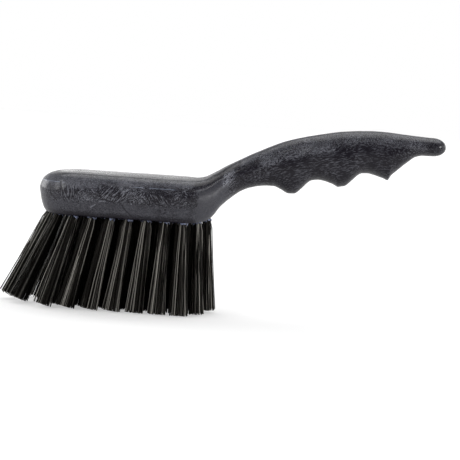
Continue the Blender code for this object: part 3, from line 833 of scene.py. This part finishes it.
filaments = dict(
    count=84, diameter=0.45 * mm, sides=6,
    dark="#030303", pale="#c4c0b8", glint="#fff3e2", crimp=1.6 * mm,
    # from the hole's mouth to the trim, how much the trim varies, and what it has more at
    # the nose
    trimLength=49.5 * mm, trimTolerance=1.1 * mm, noseGrowth=2.2 * mm,
    rootGap=0.4 * mm, floorGap=0.02 * mm,      # left free over the roots and under the tips
    # places along a filament, from the mouth to the tip
    levels=(0.0, 0.1, 0.36, 0.68, 1.0), bend=0.12 * mm,
    # the bundle's reach at its root and, along and across the brush, at its tip
    rootRadius=2.1 * mm, tipReach=(5.7 * mm, 4.3 * mm), outerReachShare=0.82,
    evenShare=0.97, scatter=0.1,       # of the tips' spread, the even part and the random one
    # shares of filaments that stray and that flare, and how far
    stray=0.08, strayReach=1.5 * mm, flared=0.25, flare=0.9 * mm, flareKept=0.6,
    # Share of pale filaments, the tones of pale and of dark ones, and how much of its tone
    # a tuft shows. The photograph's outer bundles stand pale before black ones.
    # the pale filaments are painted highlights on filaments that are all black
    paleShare=0.28, paleTone=(0.45, 1.0), darkTone=(0.0, 0.05),
    # inner tufts get painted shade, where the outer ones cut off the light, and the heel's get painted
    # light
    paintedLightShares=dict(inner=0.03, nose=0.22, side=0.55, heel=1.0),
    foremost="tuft_row3_1", outerAside=15 * mm, heelFrom=35 * mm, noseTo=-22 * mm,
)


def polypropyleneFilament():
    # Drawn polypropylene filament: near black, with a warm satin glint along each one.
    # Some are painted pale, as painted highlights of the streaks where light catches a tuft, and are
    # glossier; a fine crimp breaks the glint up.
    material, tree, shader = newMaterial("polypropyleneFilamentBlack")
    tone = addNode(tree, "Attribute", attribute_name="tone").outputs["Fac"]
    colour = addNode(tree, "Mix", {"Factor": tone, "A": linearColour(filaments["dark"]),
                                   "B": linearColour(filaments["pale"])}, data_type="RGBA")
    tree.links.new(colour.outputs["Result"], shader.inputs["Base Color"])
    rough = addNode(tree, "MapRange", {"Value": tone, "To Min": 0.4, "To Max": 0.26})
    tree.links.new(rough.outputs[0], shader.inputs["Roughness"])
    shader.inputs["IOR"].default_value = 1.4
    shader.inputs["Specular IOR Level"].default_value = 0.1
    shader.inputs["Specular Tint"].default_value = linearColour(filaments["glint"])
    place = addNode(tree, "TexCoord").outputs["Object"]
    crimp = addNode(tree, "TexNoise", {"Vector": place, "Scale": 1 / filaments["crimp"], "Detail": 1.0})
    bump = addNode(tree, "Bump", {"Height": crimp, "Strength": 0.3, "Distance": 0.2 * mm})
    tree.links.new(bump.outputs[0], shader.inputs["Normal"])
    return material


def tuftKind(name, mouth):
    # Where a tuft stands: at the heel, in the outermost ring, at the nose or further in
    size = filaments
    x = mouth[0] - shift[0]
    if x > size["heelFrom"]:
        return "heel"
    if abs(mouth[1]) > size["outerAside"] or name == size["foremost"]:
        return "side"
    return "nose" if x < size["noseTo"] else "inner"


def filamentPaths(random, growth, reachShare):
    # Centre lines of one tuft's filaments in its own frame, as (filament, level, xyz):
    # straight and packed in the hole, then fanned out, with a slight bend on the way.
    # Roots follow a sunflower spiral, whose points lie evenly in the hole's circle. A few
    # filaments flare out as soon as they leave the hole. Growth is what the tuft has over
    # the usual trim, and reachShare narrows its fan along the brush.
    size = filaments
    count = size["count"]
    number = np.arange(count) + 0.5
    radius = np.sqrt(number / count)
    angle = number * math.pi * (3 - math.sqrt(5)) + random.uniform(0, 2 * math.pi)
    spread = np.stack((radius * np.cos(angle), radius * np.sin(angle)), axis=1)
    root = size["rootRadius"] * spread
    reach = np.array(size["tipReach"]) * (reachShare, 1.0)
    tip = reach * (spread * size["evenShare"] + random.normal(0.0, size["scatter"], (count, 2)))
    stray = random.random(count) < size["stray"]
    tip += stray[:, None] * random.normal(0.0, size["strayReach"], (count, 2))
    tip = np.clip(tip, -reach, reach)
    length = size["trimLength"] + growth - size["trimTolerance"] * random.random(count) ** 2
    levels = np.array(size["levels"])
    across = root[:, None] + levels[None, :, None] * (tip - root)[:, None]
    across[:, 2:-1] += random.normal(0.0, size["bend"], (count, len(levels) - 3, 2))
    flared = (random.random(count) < size["flared"])[:, None]
    across[:, 1] += flared * size["flare"] * spread
    across[:, 2] += flared * size["flare"] * size["flareKept"] * spread
    down = -np.sqrt(length ** 2 - ((tip - root) ** 2).sum(1))[:, None] * levels
    free = np.concatenate((across, down[..., None]), axis=2)
    bottom = np.full((count, 1), tufts["holeDepth"] - size["rootGap"])
    return np.concatenate((np.concatenate((root, bottom), axis=1)[:, None], free), axis=1)


def filamentMesh(paths):
    # A tube of few sides round each path. Each ring of points lies square to the tuft.
    angle = np.arange(filaments["sides"]) * 2 * math.pi / filaments["sides"]
    ring = filaments["diameter"] / 2 * np.stack((np.cos(angle), np.sin(angle), 0 * angle), axis=1)
    return paths[:, :, None, :] + ring[None, None]


def tubeFaces(count, levels, sides):
    # Sides and both ends of every tube
    ranges = (np.arange(count), np.arange(levels - 1), np.arange(sides))
    tube, level, side = np.meshgrid(*ranges, indexing="ij")
    base = (tube * levels + level) * sides
    after = (side + 1) % sides
    walls = np.stack((base + side, base + sides + side, base + sides + after, base + after), axis=-1)
    starts = np.arange(count)[:, None] * levels * sides
    first = starts + np.arange(sides)[None, :]
    last = starts + (levels - 1) * sides + np.arange(sides)[None, ::-1]
    return walls.reshape(-1, 4).tolist() + first.tolist() + last.tolist()


def buildTufts():
    size = filaments
    material = polypropyleneFilament()
    random = np.random.default_rng(11)
    mostLean = tufts["noseLean"] + tufts["firstLean"]
    for name, mouth, turn in places:
        # tufts that lean out round the nose are trimmed longer
        lean = math.atan2(turn[0, 2], turn[2, 2])
        growth = size["noseGrowth"] * max(lean / mostLean, 0.0) ** 3
        kind = tuftKind(name, mouth)
        reachShare = size["outerReachShare"] if kind in ("side", "heel") else 1.0
        points = filamentMesh(filamentPaths(random, growth, reachShare)) @ turn.T + mouth
        # what would reach below the floor is trimmed level with it
        above = points[:, -2, :, 2]
        below = points[:, -1, :, 2]
        share = np.clip((above - size["floorGap"]) / (above - below), 0.0, 1.0)[..., None]
        points[:, -1] = points[:, -2] + share * (points[:, -1] - points[:, -2])
        count, levels, sides = points.shape[:3]
        faces = tubeFaces(count, levels, sides)
        piece = newPiece(name + "_filaments", points.reshape(-1, 3), faces, material)
        # pale filaments are painted highlights; the tuft's kind scales them, with painted shade for inner
        # tufts and painted light for the heel's
        pale = random.random(count) < size["paleShare"]
        paleShade = random.uniform(*size["paleTone"], count)
        shade = np.where(pale, paleShade, random.uniform(*size["darkTone"], count))
        tone = np.repeat(shade * size["paintedLightShares"][kind], levels * sides).astype(np.float32)
        piece.data.attributes.new("tone", "FLOAT", "POINT").data.foreach_set("value", tone)
        piece.data.set_sharp_from_angle(angle=math.radians(65))
        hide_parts(name)
        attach(piece, "root")
    print("tufts,", len(places), "of", size["count"], "filaments")


buildTufts()


# Floor, light and background

stage = dict(
    floorSize=6.0, floorColour="#d8d8d8", floorDrop=0.1 * mm,
    floorLift=0.44, mirroredLift=0.1,      # light added to it, and the share of that in mirrors
    # light from the room before the brush and from the backdrop behind it; as mirrors see
    # it, the backdrop glows more but fades out between two heights, as sines of elevation
    worldFront=0.04, worldBack=0.9, backdropGlow=1.2, backdropTop=(0.16, 0.32),
    # name, direction that it comes from, angle across in degrees, strength
    lamps=(("keyLight", (-0.7, -0.6, 0.45), 45, 1.5),
           ("lowLeftLight", (-0.9, -0.55, 0.02), 30, 0.8),
           ("lowRightLight", (1.0, -0.28, 0.03), 16, 2.6),
           ("noseLight", (-0.8, 0.6, 0.08), 30, 0.7),
           ("topLight", (0.1, 0.45, 0.9), 60, 1.5)),
)


def addFloor():
    # A pale matt floor. The camera and mirror-like surfaces see some light added to it,
    # so that it goes to white outside the shadow.
    edge = stage["floorSize"] / 2
    material, tree, shader = newMaterial("mattWhiteFloor")
    shader.inputs["Base Color"].default_value = linearColour(stage["floorColour"])
    shader.inputs["Roughness"].default_value = 1.0
    shader.inputs["Specular IOR Level"].default_value = 0.0
    seen = addNode(tree, "LightPath").outputs
    mirrored = addNode(tree, "Math", {0: seen["Is Glossy Ray"], 1: stage["mirroredLift"]},
                       operation="MULTIPLY")
    direct = addNode(tree, "Math", {0: seen["Is Camera Ray"], 1: seen["Is Transmission Ray"]},
                     operation="MAXIMUM")
    lift = addNode(tree, "Math", {0: direct, 1: mirrored}, operation="MAXIMUM")
    lift = addNode(tree, "Math", {0: lift, 1: stage["floorLift"]}, operation="MULTIPLY")
    glow = addNode(tree, "Emission", {"Strength": lift})
    total = addNode(tree, "AddShader", {0: shader, 1: glow})
    tree.links.new(total.outputs[0], tree.nodes["Material Output"].inputs["Surface"])
    low = -stage["floorDrop"]
    corners = ((-edge, -edge, low), (edge, -edge, low), (edge, edge, low), (-edge, edge, low))
    floor = newPiece("floor", corners, [(0, 1, 2, 3)], material)


def addSoftLight(name, direction, angle, strength):
    data = bpy.data.lights.new(name, "SUN")
    data.angle = math.radians(angle)
    data.energy = strength
    made = bpy.data.objects.new(name, data)
    bpy.context.scene.collection.objects.link(made)
    made.rotation_euler = (-Vector(direction)).to_track_quat("-Z", "Y").to_euler()


def lightWorld():
    # A studio with a white backdrop behind the brush and a dim room on the photographer's
    # side. The camera sees plain white all round, and glossy surfaces see the backdrop
    # only up to its upper edge.
    world = bpy.data.worlds.new("studio")
    bpy.context.scene.world = world
    world.use_nodes = True
    tree = world.node_tree

    parts = addNode(tree, "SeparateXYZ", {0: addNode(tree, "TexCoord").outputs["Generated"]}).outputs
    behind = addNode(tree, "MapRange", {"Value": parts["Y"], "From Min": 0.0, "From Max": 0.5})
    low, high = stage["backdropTop"]
    under = addNode(tree, "MapRange", {"Value": parts["Z"], "From Min": low, "From Max": high,
                                       "To Min": 1.0, "To Max": 0.0})
    soft = addNode(tree, "Mix", {"Factor": behind, "A": stage["worldFront"], "B": stage["worldBack"]})
    glow = addNode(tree, "Math", {0: behind, 1: under}, operation="MULTIPLY")
    mirrored = addNode(tree, "Mix", {"Factor": glow, "A": stage["worldFront"], "B": stage["backdropGlow"]})
    seen = addNode(tree, "LightPath").outputs
    sharp = addNode(tree, "Math", {0: seen["Is Glossy Ray"], 1: seen["Is Transmission Ray"]},
                    operation="MAXIMUM")
    strength = addNode(tree, "Mix", {"Factor": sharp, "A": soft, "B": mirrored})
    strength = addNode(tree, "Mix", {"Factor": seen["Is Camera Ray"], "A": strength, "B": 1.0})
    background = tree.nodes["Background"]
    background.inputs["Color"].default_value = (1.0, 1.0, 1.0, 1.0)
    tree.links.new(strength.outputs["Result"], background.inputs["Strength"])


addFloor()
for lamp in stage["lamps"]:
    addSoftLight(*lamp)
lightWorld()
bpy.context.scene.view_settings.view_transform = "Standard"
print("stage set")
